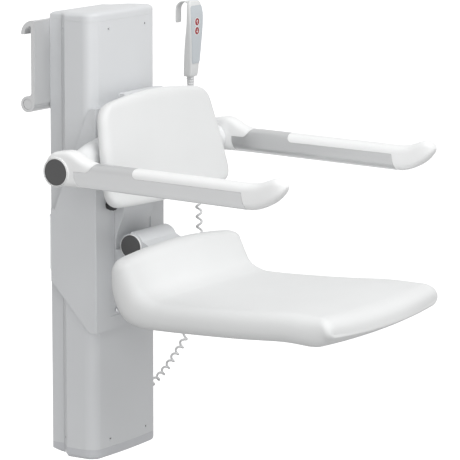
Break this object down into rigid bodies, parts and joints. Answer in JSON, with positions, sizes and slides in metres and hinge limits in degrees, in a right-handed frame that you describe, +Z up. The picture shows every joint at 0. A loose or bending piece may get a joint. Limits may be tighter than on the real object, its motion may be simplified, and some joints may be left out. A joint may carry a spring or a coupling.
{
  "type": "electric shower seat",
  "caption": "Wall-mounted shower seat on an electric lifting column, with a fold-up seat, fold-up arm supports, a backrest and a hand control on a curly cord.",
  "frame": {"origin": "on the wall plate's flat back face, midway along its length", "axes": "+Z up, +Y into the wall, -Y out over the seat, +X to the hand control's side"},
  "size_m": [0.8137, 0.8233, 0.9629],
  "materials": {
    "white_shell": "satin moulded",
    "grey_paint": "satin powder coat",
    "pale_paint": "satin powder coat",
    "aluminium": "satin anodised",
    "steel": "plain",
    "dark_cap": "matte",
    "cord_grey": "satin",
    "label_blue": "printed film",
    "button_red": "satin",
    "board_green": "solder mask"
  },
  "bodies": {
    "wall_side": {"wall_plate": "aluminium", "plate_rod": "steel", "column_cover": "pale_paint", "column_rear": "grey_paint", "top_block": "aluminium", "foot_block": "aluminium", "foot_wall_plate": "aluminium", "top_cap": "pale_paint", "bottom_cap": "grey_paint", "front_screw_top_left": "steel", "front_screw_top_right": "steel", "front_screw_foot_left": "steel", "front_screw_foot_right": "steel", "side_screw_top_left": "steel", "side_screw_top_right": "steel", "side_screw_foot_left": "steel", "side_screw_foot_right": "steel", "lift_motor": "steel", "lift_gearbox": "aluminium", "spindle_bearing": "steel", "control_box": "dark_cap", "cord_socket": "cord_grey", "curly_cord": "cord_grey", "handset_relief": "cord_grey", "handset_front": "white_shell", "handset_rear": "white_shell", "keypad_label": "label_blue", "handset_board": "board_green"},
    "spindle": {"lift_spindle": "steel"},
    "carriage": {"carriage_shell": "pale_paint", "hinge_housing": "pale_paint", "rear_yoke": "steel", "spindle_nut": "aluminium", "seat_hinge_pin": "steel", "pocket_bolt_left": "steel", "pocket_bolt_right": "steel", "backrest_shell": "white_shell", "backrest_hanger": "pale_paint", "glide_upper_left": "dark_cap", "glide_upper_right": "dark_cap", "glide_lower_left": "dark_cap", "glide_lower_right": "dark_cap", "arm_carrier_left": "pale_paint", "arm_carrier_right": "pale_paint", "arm_pivot_pin_left": "steel", "arm_pivot_pin_right": "steel"},
    "seat": {"seat_arm": "pale_paint", "seat_shell": "white_shell", "seat_hinge_cap_left": "dark_cap", "seat_hinge_cap_right": "dark_cap"},
    "arm_left": {"arm_collar_left": "white_shell", "arm_tube_left": "aluminium", "arm_pad_left": "white_shell", "hub_cap_left": "dark_cap"},
    "arm_right": {"arm_collar_right": "white_shell", "arm_tube_right": "aluminium", "arm_pad_right": "white_shell", "hub_cap_right": "dark_cap"},
    "up_key": {"button_up": "button_red"},
    "down_key": {"button_down": "button_red"}
  },
  "joints": [
    {"name": "lift", "type": "slide", "parent": "wall_side", "child": "carriage", "axis": [0, 0, 1], "range_m": [-0.2, 0.2]},
    {"name": "spindle_turn", "type": "hinge", "parent": "wall_side", "child": "spindle", "pos_m": [0, -0.048, -0.3], "axis": [0, 0, 1], "range_deg": [-7210, 7210]},
    {"name": "seat_fold", "type": "hinge", "parent": "carriage", "child": "seat", "pos_m": [0, -0.19462, -0.3814], "axis": [-1, 0, 0], "range_deg": [0, 68]},
    {"name": "arm_fold_left", "type": "hinge", "parent": "carriage", "child": "arm_left", "pos_m": [-0.301, -0.18342, -0.1888], "axis": [-1, 0, 0], "range_deg": [0, 90]},
    {"name": "arm_fold_right", "type": "hinge", "parent": "carriage", "child": "arm_right", "pos_m": [0.301, -0.18342, -0.1888], "axis": [-1, 0, 0], "range_deg": [0, 90]},
    {"name": "press_up", "type": "slide", "parent": "wall_side", "child": "up_key", "axis": [0, 1, 0], "range_m": [0, 0.001], "stiffness_N_per_m": 400, "springref_m": -0.0005},
    {"name": "press_down", "type": "slide", "parent": "wall_side", "child": "down_key", "axis": [0, 1, 0], "range_m": [0, 0.001], "stiffness_N_per_m": 400, "springref_m": -0.0005}
  ],
  "couplings": [
    {"joint": "spindle_turn", "follows": "lift", "rad_per_m": 628.32}
  ]
}
